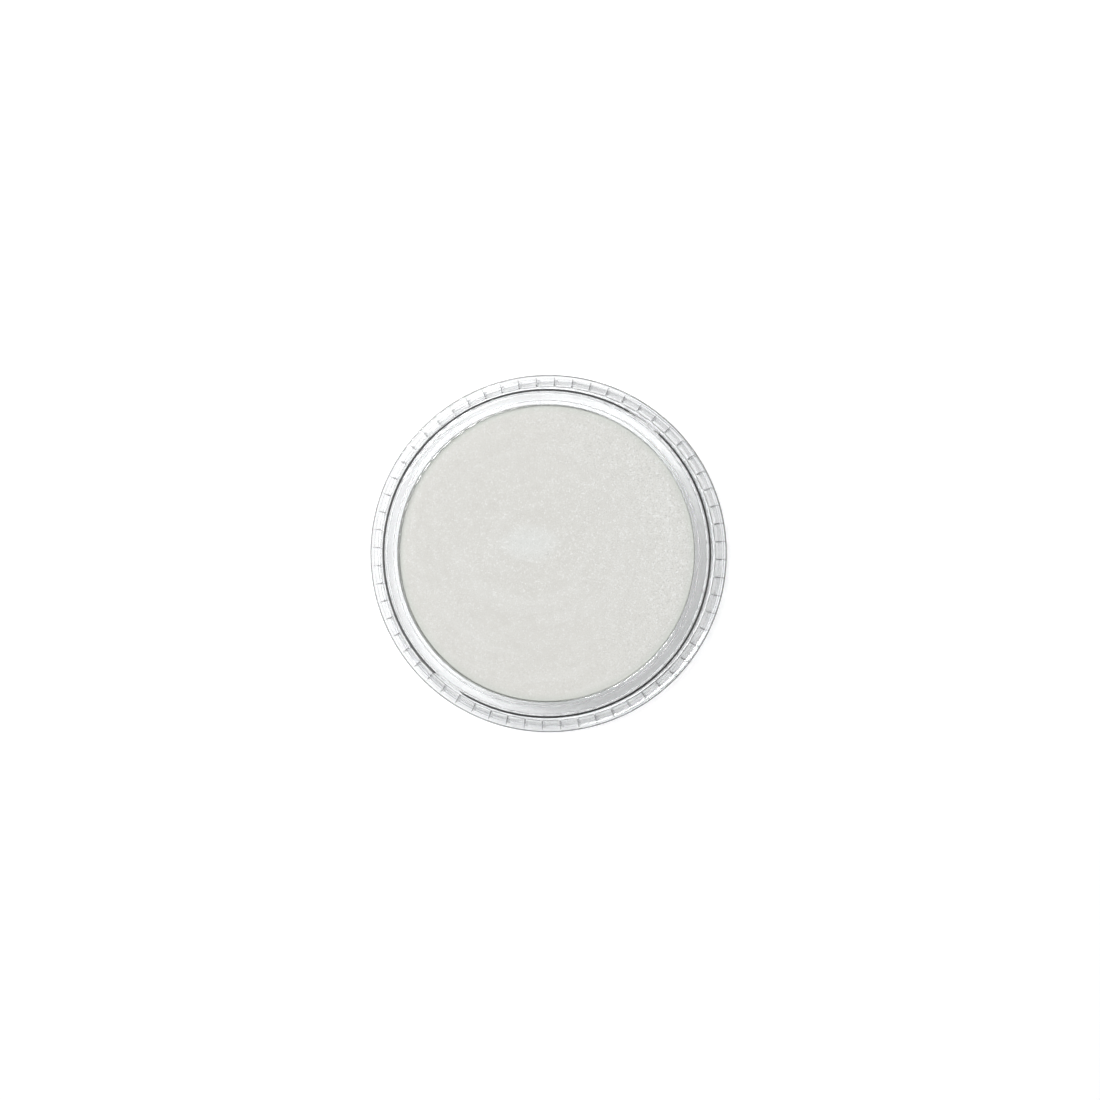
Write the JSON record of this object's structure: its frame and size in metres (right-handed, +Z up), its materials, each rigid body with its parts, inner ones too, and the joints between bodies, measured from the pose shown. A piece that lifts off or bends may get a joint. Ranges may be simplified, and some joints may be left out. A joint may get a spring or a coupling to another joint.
{
  "type": "pastel pan",
  "caption": "Round clear screw pan with a ribbed skirt, flange and threaded neck, open at the top and filled with a pressed pearl pastel cake.",
  "frame": {"origin": "on the pan's axis, on the surface that the base ring stands on", "axes": "+Z up along the pan's axis, out of the open end; +X to the right and +Y away from the user"},
  "size_m": [0.062, 0.062, 0.0138],
  "materials": {
    "pan_plastic": "clear moulded polystyrene",
    "pearl_pastel": "pressed pearl-white powder with fine sparkle",
    "label_paper": "plain uncoated"
  },
  "bodies": {
    "root": {"pan": "pan_plastic", "pastel_cake": "pearl_pastel", "base_label": "label_paper"}
  },
  "joints": []
}
